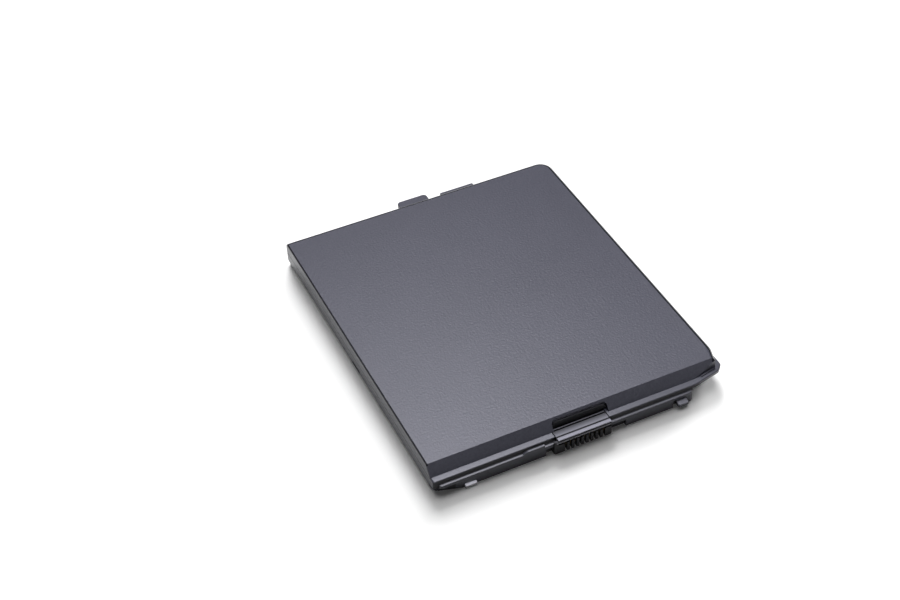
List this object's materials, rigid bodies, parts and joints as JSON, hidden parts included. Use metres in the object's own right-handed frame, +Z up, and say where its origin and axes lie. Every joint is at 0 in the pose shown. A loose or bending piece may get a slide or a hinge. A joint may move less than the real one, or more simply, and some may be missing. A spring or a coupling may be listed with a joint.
{
  "type": "tablet battery",
  "caption": "Slim rectangular tablet battery pack with a grained outer face, stepped front rim, comb connector, finger flange and retaining hooks.",
  "frame": {"origin": "bottom centre of the pack's outline", "axes": "+Z up through the outer face, +X to the right along the connector edge, +Y from the connector edge to the hooks"},
  "size_m": [0.134, 0.1672, 0.012],
  "materials": {
    "cover_plastic": "fine spark grain, satin",
    "tray_plastic": "smooth moulded, satin",
    "connector_plastic": "smooth moulded, semi gloss",
    "contact_metal": "gold plated spring bronze",
    "cell_pouch": "laminated foil",
    "aluminium_tab": "bare sheet",
    "nickel": "bare nickel sheet",
    "board_laminate": "solder mask",
    "chip_resin": "moulded resin",
    "chip_ceramic": "fired",
    "tape": "film",
    "foam": "closed cell foam",
    "insulating_paper": "pressed"
  },
  "bodies": {
    "root": {"outer_cover": "cover_plastic", "inner_tray": "tray_plastic", "connector_housing": "connector_plastic", "contact_1": "contact_metal", "contact_2": "contact_metal", "contact_3": "contact_metal", "contact_4": "contact_metal", "contact_5": "contact_metal", "contact_6": "contact_metal", "contact_7": "contact_metal", "contact_8": "contact_metal", "contact_9": "contact_metal", "cell_left": "cell_pouch", "cell_middle": "cell_pouch", "cell_right": "cell_pouch", "minus_tab_left": "nickel", "plus_tab_left": "aluminium_tab", "minus_tab_middle": "nickel", "plus_tab_middle": "aluminium_tab", "minus_tab_right": "nickel", "plus_tab_right": "aluminium_tab", "strap_minus": "nickel", "strap_low": "nickel", "strap_high": "nickel", "strap_plus": "nickel", "protection_board": "board_laminate", "gauge_chip": "chip_resin", "protector_chip": "chip_resin", "charge_switch": "chip_resin", "discharge_switch": "chip_resin", "pack_fuse": "chip_ceramic", "sense_resistor": "chip_ceramic", "thermistor": "chip_ceramic", "input_capacitor": "chip_ceramic", "output_capacitor": "chip_ceramic", "tape_left": "tape", "tape_middle": "tape", "tape_right": "tape", "foam_left": "foam", "foam_middle": "foam", "foam_right": "foam", "board_insulator": "insulating_paper"}
  },
  "joints": []
}
